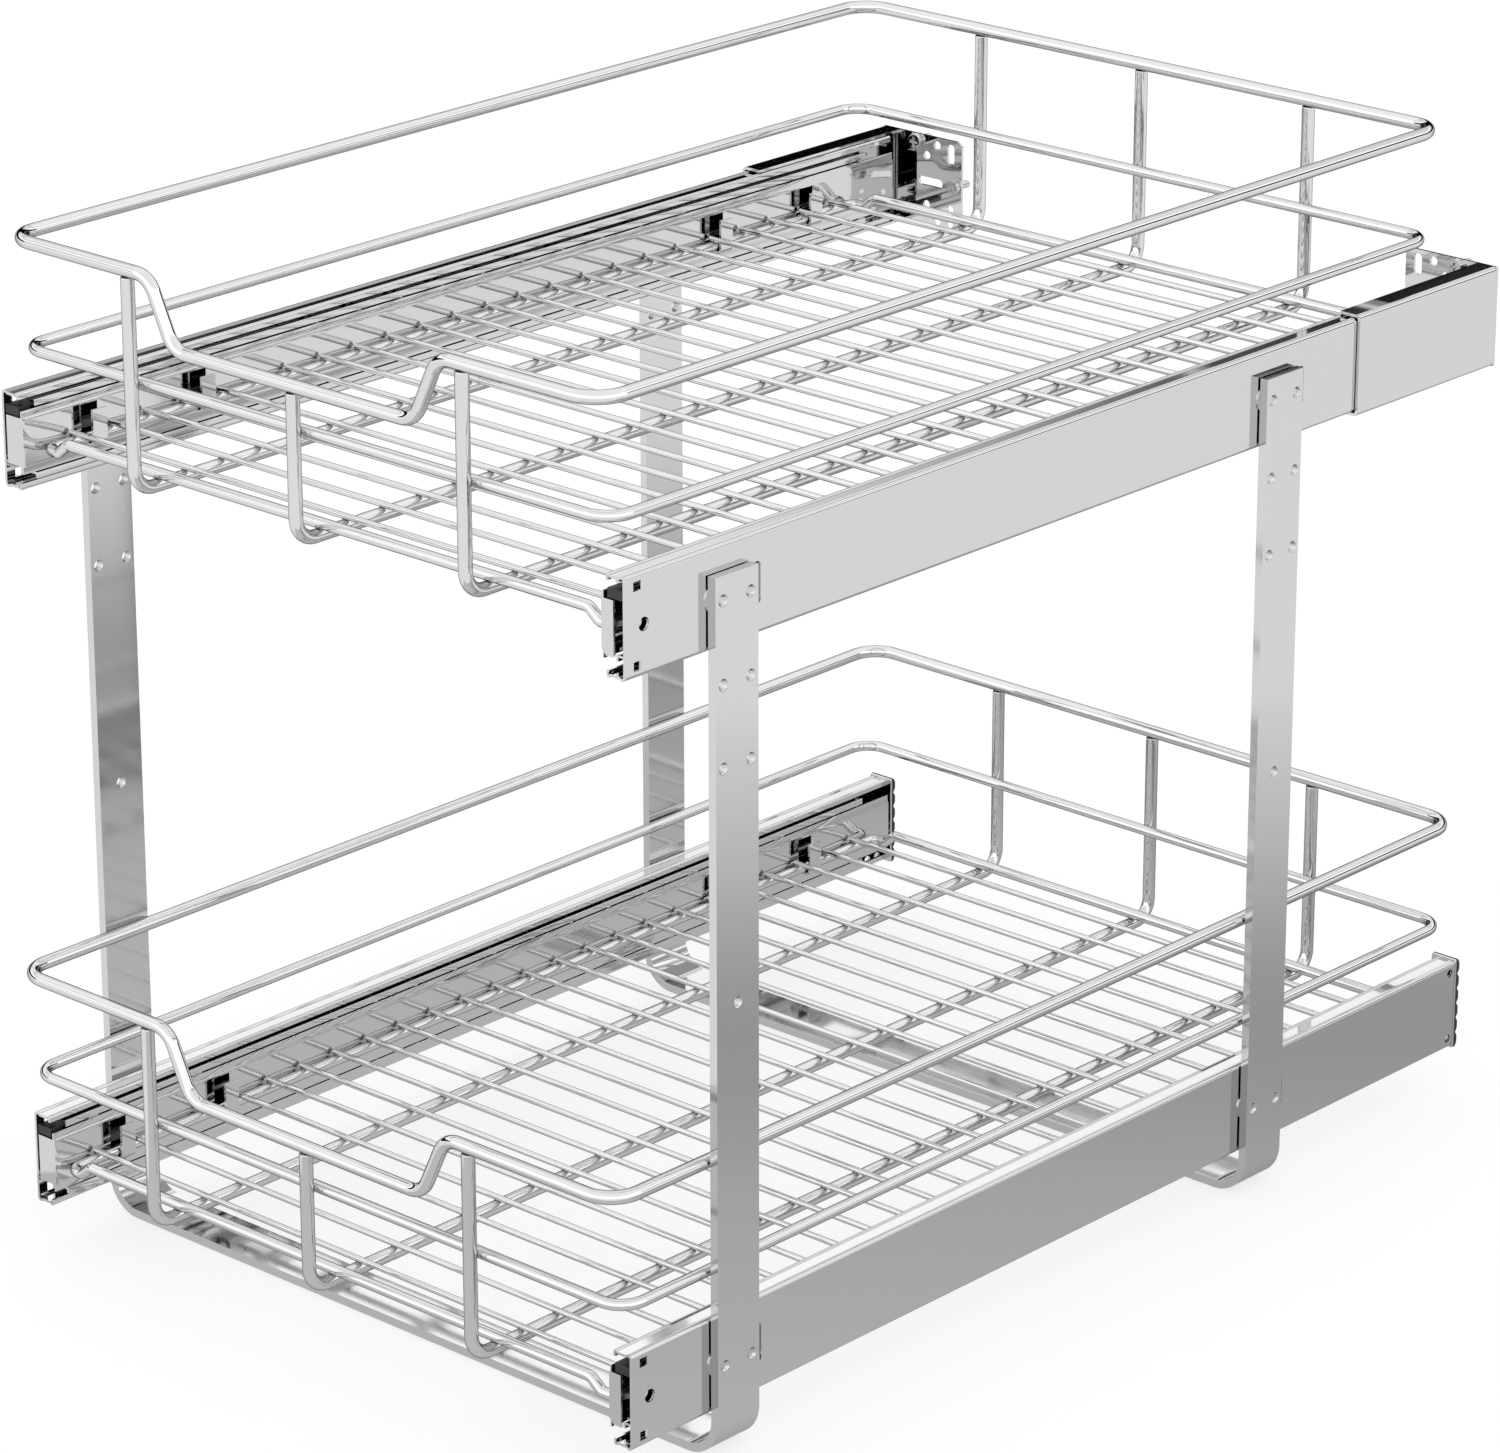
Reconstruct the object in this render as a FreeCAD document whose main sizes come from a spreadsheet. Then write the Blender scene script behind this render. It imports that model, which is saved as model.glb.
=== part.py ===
import FreeCAD, Part
import os
import Sketcher
from types import SimpleNamespace

# Two-tier pull-out rack for a floor cabinet. Two U-shaped steel straps carry four
# full-extension ball slides, and each pair of slides carries a chromed wire basket.
# x runs across the rack, y from its front to its rear and z up, all in millimetres.
# The origin lies on the floor, under the middle of the rack's box.

SIZES = {
    # U-shaped straps
    "overall_width": 371.5,
    "strap_width": 25.0,
    "strap_thickness": 4.0,
    "strap_bend": 13.5,
    "upright_height": 385.8,
    "front_strap": 59.0,
    "strap_spacing": 350.0,
    "screw_hole": 5.2,
    "screw_pair": 16.2,
    "hole_row_pitch": 35.25,
    "single_hole_height": 202.2,
    "floor_hole": 5.2,
    "floor_hole_inset": 44.75,
    # slides, as they lie closed
    "rail_length": 558.0,
    "rail_height": 43.2,
    "slide_depth": 12.75,
    "slide_sheet": 1.2,
    "side_gap": 0.6,
    "lower_rail_level": 42.7,
    "tier_spacing": 332.8,
    "rail_flange": 10.3,
    "rail_lip": 3.0,
    "race_groove": 0.6,
    "race_margin": 1.4,
    "race_slope": 0.6,
    "sheet_bend": 0.8,
    "ball_diameter": 3.8,
    "ball_play": 0.1,
    "running_gap": 0.3,
    "web_gap": 1.3,
    "middle_front": 7.5,
    "middle_rear": 20.0,
    "inner_rear": 1.0,
    "inner_flange_depth": 6.4,
    "middle_lip": 1.7,
    "inner_edge": 3.2,
    "inner_edge_sheet": 0.7,
    "inner_edge_step": 0.6,
    "inner_edge_slope": 1.6,
    "cage_sheet": 0.6,
    "cage_length": 240.0,
    "cage_balls": 9,
    "ball_pitch": 26.0,
    "pocket_play": 0.3,
    # screws between the slides and the uprights
    "thread_diameter": 5.0,
    "thread_play": 0.4,
    "head_diameter": 8.6,
    "head_height": 0.7,
    "dimple_diameter": 12.0,
    "dimple_play": 1.0,
    "thread_end": 0.4,
    # openings in the outer members' webs
    "front_hole": 5.8,
    "front_hole_setback": 10.5,
    "corner_hole_width": 4.2,
    "corner_hole_height": 4.0,
    "corner_hole_setback": 6.8,
    "corner_hole_rise": 16.5,
    "rear_hole": 4.0,
    "rear_hole_setback": 3.6,
    "latch_slot_width": 5.6,
    "latch_slot_height": 18.0,
    "latch_slot_offset": 16.0,
    "latch_slot_corner": 2.0,
    # front ends of the slides
    "front_plate": 1.2,
    "wide_plate": 10.4,
    "narrow_plate_drop": 2.0,
    "narrow_plate_corner": 2.4,
    "lever_front": 2.2,
    "lever_length": 58.0,
    "lever_height": 4.6,
    "lever_depth": 4.6,
    "lever_tip_height": 2.3,
    "lever_taper": 19.3,
    "lever_corner": 1.1,
    "lever_finger_rise": 3.4,
    "pivot_setback": 54.0,
    "pivot_diameter": 2.6,
    "pivot_play": 0.1,
    "stop_block_front": 0.5,
    "stop_block_rise": 7.1,
    "stop_block_step": 2.8,
    # hooks that hold the baskets' side rods
    "hook_front": 37.3,
    "hook_rear": 63.8,
    "hook_pitch": 63.0,
    "hook_width": 8.0,
    "window_width": 9.4,
    "window_top": 9.5,
    "hook_top": 8.3,
    "hook_bend": 1.4,
    "hook_drop": 0.1,
    "hook_play": 0.15,
    # baskets
    "frame_wire": 6.0,
    "side_wire": 5.0,
    "cross_wire": 2.8,
    "weld_sink": 0.15,
    "seat_gap": 0.3,
    "floor_drop": 4.8,
    "basket_depth": 95.5,
    "mid_rail_rise": 46.45,
    "front_drop": 29.3,
    "front_opening_top": 167.0,
    "front_opening_bottom": 139.0,
    "front_opening_bend": 11.5,
    "front_opening_lead": 20.0,
    "long_wire_pitch": 96.5,
    "post_bend": 10.0,
    "upper_rim_gap": 8.75,
    "lower_rim_gap": 0.75,
    "rim_bend": 14.0,
    "mid_rail_bend": 12.0,
    "upper_front_overhang": 2.2,
    "upper_rear_setback": 20.8,
    "lower_front_overhang": 6.9,
    "lower_rear_setback": 1.8,
    "upper_grid_setback": 12.5,
    "lower_grid_setback": 13.35,
    "upper_cross_wires": 24,
    "lower_cross_wires": 25,
    "upper_wire_setback": 27.6,
    "lower_wire_setback": 28.95,
    "cross_wire_end": 1.5,
    "grid_bend": 5.0,
    "grid_dip_inset": 7.5,
    "grid_dip_lead": 1.8,
    "grid_dip_run": 6.2,
    "grid_dip_bend": 4.0,
    # wall brackets at the rear of the upper slides
    "bracket_sheet": 1.3,
    "sleeve_height": 46.4,
    "sleeve_flange": 11.0,
    "sleeve_overlap": 92.7,
    "bracket_reach": 9.3,
    "bracket_flange": 50.35,
    "bracket_corner": 3.0,
    "bracket_hole": 4.2,
    "slot_flat": 0.3,
    "bracket_screw_length": 8.0,
    "bracket_screw_thread": 3.9,
    "bracket_screw_head": 7.5,
    "bracket_head_height": 2.4,
    "recess_width": 1.1,
    "recess_length": 4.4,
    "recess_depth": 1.3,
    # rear ends of the lower slides
    "cap_sheet": 1.2,
    "cap_border": 0.6,
    "bumper_base": 1.0,
    "bumper_wave": 1.3,
    "bumper_waves": 6,
    "bumper_rounding": 2.4,
}

os.makedirs("parts", exist_ok=True)
doc = FreeCAD.newDocument("pull_out_rack")
sheet = doc.addObject("Spreadsheet::Sheet", "sizes")
for row, (alias, number) in enumerate(SIZES.items(), start=1):
    sheet.set("A%d" % row, alias)
    sheet.set("B%d" % row, str(number))
    sheet.setAlias("B%d" % row, alias)
doc.recompute()


class Length:
    """A size as its number and as the sheet expression that a feature is bound to."""

    def __init__(self, number, text):
        self.number = float(number)
        self.text = text

    def __float__(self):
        return self.number

    def __neg__(self):
        return Length(-self.number, "(-%s)" % self.text)

    def __add__(self, other):
        other = as_length(other)
        return Length(self.number + other.number, "(%s + %s)" % (self.text, other.text))

    def __sub__(self, other):
        other = as_length(other)
        return Length(self.number - other.number, "(%s - %s)" % (self.text, other.text))

    def __mul__(self, factor):
        factor = as_length(factor)
        return Length(self.number * factor.number, "(%s * %s)" % (self.text, factor.text))

    def __truediv__(self, divisor):
        divisor = as_length(divisor)
        return Length(self.number / divisor.number, "(%s / %s)" % (self.text, divisor.text))

    def __radd__(self, other):
        return as_length(other) + self

    def __rsub__(self, other):
        return as_length(other) - self

    def __rmul__(self, factor):
        return as_length(factor) * self


def as_length(value):
    """A plain number as a length, and a length as it is."""
    if isinstance(value, Length):
        return value
    return Length(value, "(%r)" % float(value))


dim = SimpleNamespace(**{alias: Length(number, "sizes." + alias) for alias, number in SIZES.items()})

# Faces and levels that several pieces share, from the outside of the rack inwards
upright_face = dim.overall_width / 2 - dim.strap_thickness
web_face = upright_face - dim.side_gap
slide_face = web_face - dim.slide_depth
rail_edge = dim.rail_height / 2
half_rail = rail_edge - dim.race_groove
race = dim.ball_diameter + dim.ball_play
middle_flange = half_rail - dim.slide_sheet - race
inner_flange = middle_flange - dim.slide_sheet - race
middle_web = dim.slide_sheet + dim.web_gap
inner_back = dim.slide_depth - dim.inner_flange_depth
upper_level = dim.lower_rail_level + dim.tier_spacing
strap_centres = (dim.front_strap, dim.front_strap + dim.strap_spacing)
screw_rows = [centre + way * dim.screw_pair / 2 for centre in strap_centres for way in (-1, 1)]

# The rack's box runs from the lower basket's front rim to the wall screws' tips
box_front = dim.lower_front_overhang + dim.frame_wire / 2
box_rear = dim.rail_length + dim.bracket_reach + dim.bracket_screw_length
rail_front = (box_front - box_rear) / 2

SIDES = {"left": -1, "right": 1}
TIERS = {"upper": upper_level, "lower": dim.lower_rail_level}
pieces = []


def bind(item, path, length):
    """Ties a property of a feature to the sheet."""
    item.setExpression(path, as_length(length).text)


def keep(item, name, height=0):
    """Names a piece, sets it in the rack and puts it on the list of pieces."""
    item.Label = name
    bind(item, "Placement.Base.y", rail_front)
    bind(item, "Placement.Base.z", height)
    pieces.append(item)


def new_body(name):
    return doc.addObject("PartDesign::Body", name)


def origin_item(body, role):
    """One of the body's own origin planes or axes."""
    return [item for item in body.Origin.OriginFeatures if item.Role == role][0]


def new_sketch(body, role, name, offset=0):
    """A sketch on an origin plane of the body, moved along the axis square to that plane."""
    sketch = body.newObject("Sketcher::SketchObject", name)
    sketch.AttachmentSupport = [(origin_item(body, role), "")]
    sketch.MapMode = "FlatFace"
    away = -as_length(offset) if role == "XZ_Plane" else as_length(offset)
    bind(sketch, "AttachmentOffset.Base.z", away)
    return sketch


def pin_point(sketch, geometry, end, name, across, up):
    """Holds a point of a sketch at its two distances from the sketch's origin."""
    for kind, length in (("DistanceX", across), ("DistanceY", up)):
        label = name + kind[-1].lower()
        rule = Sketcher.Constraint(kind, -1, 1, geometry, end, float(length))
        sketch.renameConstraint(sketch.addConstraint(rule), label)
        bind(sketch, "Constraints." + label, length)


def draw_path(sketch, corners, closed=True):
    """Straight lines from corner to corner. A corner with a third value is rounded to it."""
    first = sketch.GeometryCount
    points = [FreeCAD.Vector(float(corner[0]), float(corner[1]), 0) for corner in corners]
    lines = len(points) if closed else len(points) - 1
    for index in range(lines):
        sketch.addGeometry(Part.LineSegment(points[index], points[(index + 1) % len(points)]), False)
    for index in range(lines if closed else lines - 1):
        following = first + (index + 1) % lines
        sketch.addConstraint(Sketcher.Constraint("Coincident", first + index, 2, following, 1))
    for index, corner in enumerate(corners):
        line, end = (first + index, 1) if index < lines else (first + index - 1, 2)
        pin_point(sketch, line, end, "point_%d_%d_" % (first, index), corner[0], corner[1])
    for index, corner in enumerate(corners):
        if len(corner) == 3:
            arc = sketch.GeometryCount
            sketch.fillet(first + (index - 1) % lines, 2, float(corner[2]), True, True)
            rule = Sketcher.Constraint("Radius", arc, float(corner[2]))
            label = "bend_%d_%d" % (first, index)
            sketch.renameConstraint(sketch.addConstraint(rule), label)
            bind(sketch, "Constraints." + label, corner[2])


def draw_box(sketch, left, right, bottom, top, corner=None):
    """A rectangle, with rounded corners where a radius is given."""
    rounding = () if corner is None else (corner,)
    draw_path(sketch, [(left, bottom) + rounding, (right, bottom) + rounding,
                       (right, top) + rounding, (left, top) + rounding])


def draw_circle(sketch, across, up, diameter):
    circle = Part.Circle(FreeCAD.Vector(float(across), float(up), 0), FreeCAD.Vector(0, 0, 1),
                         float(diameter) / 2)
    index = sketch.addGeometry(circle, False)
    pin_point(sketch, index, 3, "centre_%d_" % index, across, up)
    label = "round_%d" % index
    rule = Sketcher.Constraint("Diameter", index, float(diameter))
    sketch.renameConstraint(sketch.addConstraint(rule), label)
    bind(sketch, "Constraints." + label, diameter)


def add_pad(body, sketch, name, length, backwards=False):
    """Metal along the sketch's normal, or against it. A sketch across the rack faces the front."""
    pad = body.newObject("PartDesign::Pad", name)
    pad.Profile = sketch
    pad.Reversed = backwards
    bind(pad, "Length", length)
    return pad


def cut_through(body, sketch, name):
    """An opening all the way through, both ways from the sketch."""
    pocket = body.newObject("PartDesign::Pocket", name)
    pocket.Profile = sketch
    pocket.Type = "ThroughAll"
    pocket.SideType = "Symmetric"
    return pocket


def repeat(body, features, axis, name, count, pitch):
    """The features again and again along an axis of the body."""
    row = body.newObject("PartDesign::LinearPattern", name)
    row.Originals = features
    row.Direction = (origin_item(body, axis), [""])
    bind(row, "Occurrences", count)
    bind(row, "Length", (count - 1) * pitch)
    body.Tip = row
    return row


def from_web(side, depth):
    """The x of a point of a slide, by its depth from the outer web's outer face."""
    return side * (web_face - depth)


# Straps

def make_strap(name, centre):
    """A flat bar bent to a U, with tapped holes for the slides and holes for floor screws."""
    body = new_body(name)
    half = dim.overall_width / 2
    top = dim.upright_height
    outer_bend = dim.strap_bend + dim.strap_thickness
    profile = new_sketch(body, "XZ_Plane", name + "_profile", centre - dim.strap_width / 2)
    draw_path(profile, [(-half, 0, outer_bend), (half, 0, outer_bend), (half, top), (upright_face, top),
                        (upright_face, dim.strap_thickness, dim.strap_bend),
                        (-upright_face, dim.strap_thickness, dim.strap_bend),
                        (-upright_face, top), (-half, top)])
    add_pad(body, profile, name + "_bar", dim.strap_width, backwards=True)

    tapped = new_sketch(body, "YZ_Plane", name + "_tapped")
    levels = [dim.lower_rail_level] + [upper_level - step * dim.hole_row_pitch for step in range(3)]
    for level in levels:
        for way in (-1, 1):
            draw_circle(tapped, centre + way * dim.screw_pair / 2, level, dim.screw_hole)
    draw_circle(tapped, centre, dim.single_hole_height, dim.screw_hole)
    cut_through(body, tapped, name + "_tapped_holes")

    floor = new_sketch(body, "XY_Plane", name + "_floor")
    for way in (-1, 1):
        draw_circle(floor, way * (half - dim.floor_hole_inset), centre, dim.floor_hole)
    cut_through(body, floor, name + "_floor_holes")
    keep(body, name)


for strap, centre in zip(("front_u_strap", "rear_u_strap"), strap_centres):
    make_strap(strap, centre)


# Outer members

def make_outer_member(name, side, level):
    """A rolled channel that stays on the uprights, its web dimpled outwards at each screw.
    A shallow groove along each flange is the track of the outer balls."""
    body = new_body(name)
    tip = dim.rail_flange
    wall = dim.slide_sheet
    bend = dim.sheet_bend
    under_lip = rail_edge - dim.rail_lip
    near = wall + dim.race_margin
    far = tip - dim.race_margin
    slope = dim.race_slope
    profile = new_sketch(body, "XZ_Plane", name + "_profile")
    upper = [(from_web(side, 0), rail_edge, bend + wall), (from_web(side, near), rail_edge),
             (from_web(side, near + slope), half_rail), (from_web(side, far - slope), half_rail),
             (from_web(side, far), rail_edge), (from_web(side, tip), rail_edge, wall),
             (from_web(side, tip), under_lip), (from_web(side, tip - wall), under_lip),
             (from_web(side, tip - wall), rail_edge - wall), (from_web(side, far), rail_edge - wall),
             (from_web(side, far - slope), half_rail - wall),
             (from_web(side, near + slope), half_rail - wall), (from_web(side, near), rail_edge - wall),
             (from_web(side, wall), rail_edge - wall, bend)]
    lower = [(corner[0], -corner[1]) + corner[2:] for corner in reversed(upper)]
    draw_path(profile, upper + lower)
    add_pad(body, profile, name + "_channel", dim.rail_length, backwards=True)

    bosses = new_sketch(body, "YZ_Plane", name + "_dimples", side * web_face)
    for row in screw_rows:
        draw_circle(bosses, row, 0, dim.dimple_diameter)
    add_pad(body, bosses, name + "_dimple_faces", dim.side_gap, backwards=side < 0)

    hollows = new_sketch(body, "YZ_Plane", name + "_hollows", from_web(side, wall))
    for row in screw_rows:
        draw_circle(hollows, row, 0, dim.head_diameter + dim.dimple_play)
    pocket = body.newObject("PartDesign::Pocket", name + "_dimple_hollows")
    pocket.Profile = hollows
    pocket.Reversed = side > 0
    bind(pocket, "Length", dim.side_gap)

    openings = new_sketch(body, "YZ_Plane", name + "_openings")
    for row in screw_rows:
        draw_circle(openings, row, 0, dim.thread_diameter + dim.thread_play)
    draw_circle(openings, dim.front_hole_setback, 0, dim.front_hole)
    half_width = dim.corner_hole_width / 2
    half_height = dim.corner_hole_height / 2
    for way in (-1, 1):
        rise = way * dim.corner_hole_rise
        draw_box(openings, dim.corner_hole_setback - half_width, dim.corner_hole_setback + half_width,
                 rise - half_height, rise + half_height)
        draw_circle(openings, dim.rail_length - dim.rear_hole_setback, rise, dim.rear_hole)
    for centre in strap_centres:
        slot = centre + dim.latch_slot_offset
        draw_box(openings, slot - dim.latch_slot_width / 2, slot + dim.latch_slot_width / 2,
                 -dim.latch_slot_height / 2, dim.latch_slot_height / 2, dim.latch_slot_corner)
    cut_through(body, openings, name + "_web_openings")
    keep(body, name, level)


# Intermediate members

def make_middle_member(name, side, level):
    """The channel between the two rows of balls, which travels half as far as the basket.
    Its flanges end in a lip that closes most of the gap to the outer member."""
    body = new_body(name)
    wall = dim.slide_sheet
    bend = dim.sheet_bend
    tip = dim.slide_depth - 2 * dim.running_gap
    profile = new_sketch(body, "XZ_Plane", name + "_profile", dim.middle_front)
    lip_top = middle_flange + dim.middle_lip
    upper = [(from_web(side, middle_web), middle_flange, bend + wall),
             (from_web(side, tip - wall), middle_flange), (from_web(side, tip - wall), lip_top),
             (from_web(side, tip), lip_top), (from_web(side, tip), middle_flange - wall),
             (from_web(side, middle_web + wall), middle_flange - wall, bend)]
    lower = [(corner[0], -corner[1]) + corner[2:] for corner in reversed(upper)]
    draw_path(profile, upper + lower)
    length = dim.rail_length - dim.middle_front - dim.middle_rear
    add_pad(body, profile, name + "_channel", length, backwards=True)
    keep(body, name, level)


def make_stop_block(name, side, level):
    """The black moulded stop on the intermediate member's front end. The left ones are
    stepped up at their rear."""
    body = new_body(name)
    bottom = inner_flange + dim.running_gap
    low = bottom + dim.stop_block_rise - dim.stop_block_step
    high = bottom + dim.stop_block_rise
    near = dim.slide_sheet + dim.running_gap
    far = dim.rail_flange - dim.running_gap
    half_way = (near + far) / 2
    depth = dim.middle_front - dim.stop_block_front
    base = new_sketch(body, "XZ_Plane", name + "_base", dim.stop_block_front)
    draw_box(base, from_web(side, near), from_web(side, far), bottom, low)
    add_pad(body, base, name + "_base_block", depth, backwards=True)
    if side < 0:
        step = new_sketch(body, "XZ_Plane", name + "_step", dim.stop_block_front + depth / 2)
        draw_box(step, from_web(side, half_way), from_web(side, far), bottom, high)
        add_pad(body, step, name + "_step_block", depth / 2, backwards=True)
    keep(body, name, level)


# Inner members

def make_inner_member(name, side, level):
    """The channel that the basket hangs on, with a raised edge beside the balls' track.
    Its web is lanced four times, and each tongue is bent out and up to a hook for the
    basket's side rod."""
    body = new_body(name)
    wall = dim.slide_sheet
    bend = dim.sheet_bend
    face = dim.slide_depth
    profile = new_sketch(body, "XZ_Plane", name + "_profile")
    edge = inner_flange + dim.inner_edge
    step = face - dim.inner_edge_step
    slope_top = inner_flange - wall + dim.inner_edge_slope
    upper = [(from_web(side, face), inner_flange - wall), (from_web(side, step), slope_top),
             (from_web(side, step), edge), (from_web(side, step - dim.inner_edge_sheet), edge),
             (from_web(side, step - dim.inner_edge_sheet), inner_flange),
             (from_web(side, inner_back), inner_flange), (from_web(side, inner_back), inner_flange - wall),
             (from_web(side, face - wall), inner_flange - wall, bend)]
    lower = [(corner[0], -corner[1]) + corner[2:] for corner in reversed(upper)]
    draw_path(profile, upper + lower)
    add_pad(body, profile, name + "_channel", dim.rail_length - dim.inner_rear, backwards=True)

    # The front plates of the right slides are narrower and reach lower than the left ones
    plate = new_sketch(body, "XZ_Plane", name + "_plate")
    if side < 0:
        draw_box(plate, from_web(side, face), from_web(side, face - dim.wide_plate),
                 -inner_flange, inner_flange)
    else:
        back = face - dim.inner_flange_depth
        bottom = -inner_flange - dim.narrow_plate_drop
        corner = dim.narrow_plate_corner
        draw_path(plate, [(from_web(side, face), inner_flange), (from_web(side, back), inner_flange),
                          (from_web(side, back), bottom), (from_web(side, face - corner), bottom),
                          (from_web(side, face), bottom + corner)])
    add_pad(body, plate, name + "_front_plate", dim.front_plate, backwards=True)

    rod_bottom = side_rod_height - dim.side_wire / 2 - dim.floor_drop
    root_top = rod_bottom - dim.hook_drop
    root_bottom = root_top - wall
    hook_inside = face + 2 * dim.seat_gap + dim.side_wire + dim.hook_play
    hook_starts = [dim.hook_front, dim.hook_front + dim.hook_pitch,
                   dim.rail_length - dim.hook_rear - dim.hook_pitch, dim.rail_length - dim.hook_rear]
    windows = new_sketch(body, "YZ_Plane", name + "_windows")
    for centre in hook_starts:
        draw_box(windows, centre - dim.window_width / 2, centre + dim.window_width / 2,
                 root_top, dim.window_top)
    cut_through(body, windows, name + "_web_windows")
    for index, centre in enumerate(hook_starts):
        hook = new_sketch(body, "XZ_Plane", "%s_hook_%d" % (name, index), centre - dim.hook_width / 2)
        draw_path(hook, [(from_web(side, face - wall), root_bottom),
                         (from_web(side, hook_inside + wall), root_bottom, dim.hook_bend + wall),
                         (from_web(side, hook_inside + wall), dim.hook_top),
                         (from_web(side, hook_inside), dim.hook_top),
                         (from_web(side, hook_inside), root_top, dim.hook_bend),
                         (from_web(side, face - wall), root_top)])
        add_pad(body, hook, "%s_hook_bar_%d" % (name, index), dim.hook_width, backwards=True)

    pivot = new_sketch(body, "YZ_Plane", name + "_pivot", from_web(side, face - wall))
    draw_circle(pivot, dim.pivot_setback, 0, dim.pivot_diameter)
    pivot_length = dim.lever_depth + 2 * dim.running_gap
    add_pad(body, pivot, name + "_pivot_pin", pivot_length, backwards=side < 0)
    keep(body, name, level)


def make_release_lever(name, side, level):
    """The lever behind the front plate that frees the inner member for lifting the basket out."""
    body = new_body(name)
    near = dim.slide_depth - dim.slide_sheet - dim.running_gap
    half = dim.lever_height / 2
    front = dim.lever_front
    rear = front + dim.lever_length
    tip = dim.lever_tip_height / 2
    taper = front + dim.lever_taper
    wide = dim.pivot_setback - half
    bar = new_sketch(body, "YZ_Plane", name + "_bar", from_web(side, near))
    draw_path(bar, [(front, -tip), (taper, -tip), (wide, -half), (rear, -half, dim.lever_corner),
                    (rear, half, dim.lever_corner), (wide, half), (taper, tip), (front, tip)])
    add_pad(body, bar, name + "_lever_bar", dim.lever_depth, backwards=side < 0)
    # The finger ends far enough ahead of the intermediate member to stay clear as it turns
    finger_length = dim.middle_front - front - 2 * dim.running_gap
    finger = new_sketch(body, "XZ_Plane", name + "_finger", front)
    back = near - dim.lever_depth
    reach = dim.slide_sheet + 2 * dim.running_gap
    root = back + tip
    rise = dim.lever_finger_rise
    draw_path(finger, [(from_web(side, root), -tip), (from_web(side, root), tip),
                       (from_web(side, reach), rise), (from_web(side, reach), rise - 2 * tip)])
    add_pad(body, finger, name + "_finger_tab", finger_length, backwards=True)
    hole = new_sketch(body, "YZ_Plane", name + "_hole")
    draw_circle(hole, dim.pivot_setback, 0, dim.pivot_diameter + 2 * dim.pivot_play)
    cut_through(body, hole, name + "_pivot_hole")
    keep(body, name, level)


# Cages and balls

outer_cage = SimpleNamespace(near=dim.slide_sheet + dim.running_gap,
                             far=dim.rail_flange - dim.slide_sheet - dim.running_gap,
                             rise=half_rail - dim.slide_sheet - race / 2)
inner_cage = SimpleNamespace(near=middle_web + dim.slide_sheet + dim.running_gap,
                             far=dim.slide_depth - dim.slide_sheet - dim.running_gap,
                             rise=inner_flange + race / 2)
outer_cage.ball = (outer_cage.near + dim.cage_sheet + outer_cage.far) / 2
inner_cage.ball = (inner_back + inner_cage.far) / 2
cage_front = (dim.rail_length - dim.cage_length) / 2
first_ball = (dim.rail_length - (dim.cage_balls - 1) * dim.ball_pitch) / 2


def make_cage(name, side, level, cage):
    """A thin strip channel that keeps one set of balls apart, with a pocket for each ball."""
    body = new_body(name)
    wall = dim.cage_sheet
    top = cage.rise + wall / 2
    profile = new_sketch(body, "XZ_Plane", name + "_profile", cage_front)
    upper = [(from_web(side, cage.near), top), (from_web(side, cage.far), top),
             (from_web(side, cage.far), top - wall), (from_web(side, cage.near + wall), top - wall)]
    lower = [(corner[0], -corner[1]) for corner in reversed(upper)]
    draw_path(profile, upper + lower)
    add_pad(body, profile, name + "_strip", dim.cage_length, backwards=True)
    doc.recompute()
    hole = new_sketch(body, "XY_Plane", name + "_hole")
    draw_circle(hole, from_web(side, cage.ball), first_ball, dim.ball_diameter + dim.pocket_play)
    pocket = cut_through(body, hole, name + "_pocket")
    repeat(body, [pocket], "Y_Axis", name + "_pockets", dim.cage_balls, dim.ball_pitch)
    keep(body, name, level)


def make_balls(name, level, cage):
    """The balls of one tier's left and right cages, above and below."""
    body = new_body(name)
    balls = []
    for side in SIDES.values():
        for way in (-1, 1):
            ball = body.newObject("PartDesign::AdditiveSphere", "%s_%d_%d" % (name, side, way))
            bind(ball, "Radius", dim.ball_diameter / 2)
            bind(ball, "Placement.Base.x", from_web(side, cage.ball))
            bind(ball, "Placement.Base.y", first_ball)
            bind(ball, "Placement.Base.z", way * cage.rise)
            balls.append(ball)
    repeat(body, balls, "Y_Axis", name + "_row", dim.cage_balls, dim.ball_pitch)
    keep(body, name, level)


def make_rail_screws(name, level):
    """The eight flat-headed screws that hold one tier's outer members to the uprights."""
    body = new_body(name)
    for word, side in SIDES.items():
        seat = from_web(side, dim.slide_sheet - dim.side_gap)
        heads = new_sketch(body, "YZ_Plane", "%s_%s_heads" % (name, word), seat)
        threads = new_sketch(body, "YZ_Plane", "%s_%s_threads" % (name, word), seat)
        for row in screw_rows:
            draw_circle(heads, row, 0, dim.head_diameter)
            draw_circle(threads, row, 0, dim.thread_diameter)
        add_pad(body, heads, "%s_%s_head_discs" % (name, word), dim.head_height, backwards=side > 0)
        reach = dim.slide_sheet + dim.strap_thickness - dim.thread_end
        add_pad(body, threads, "%s_%s_thread_pins" % (name, word), reach, backwards=side < 0)
    keep(body, name, level)


# Baskets

def bent_rod(name, role, corners, diameter, level=0, closed=False):
    """A round rod bent along a flat path. The path starts along x."""
    body = new_body(name)
    spine = new_sketch(body, role, name + "_path", level)
    draw_path(spine, corners, closed)
    start = corners[0]
    section = new_sketch(body, "YZ_Plane", name + "_section", start[0])
    if role == "XY_Plane":
        draw_circle(section, start[1], level, diameter)
    else:
        draw_circle(section, level, start[1], diameter)
    doc.recompute()
    rod = body.newObject("PartDesign::AdditivePipe", name + "_rod")
    rod.Profile = section
    rod.Spine = spine
    return body


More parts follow.
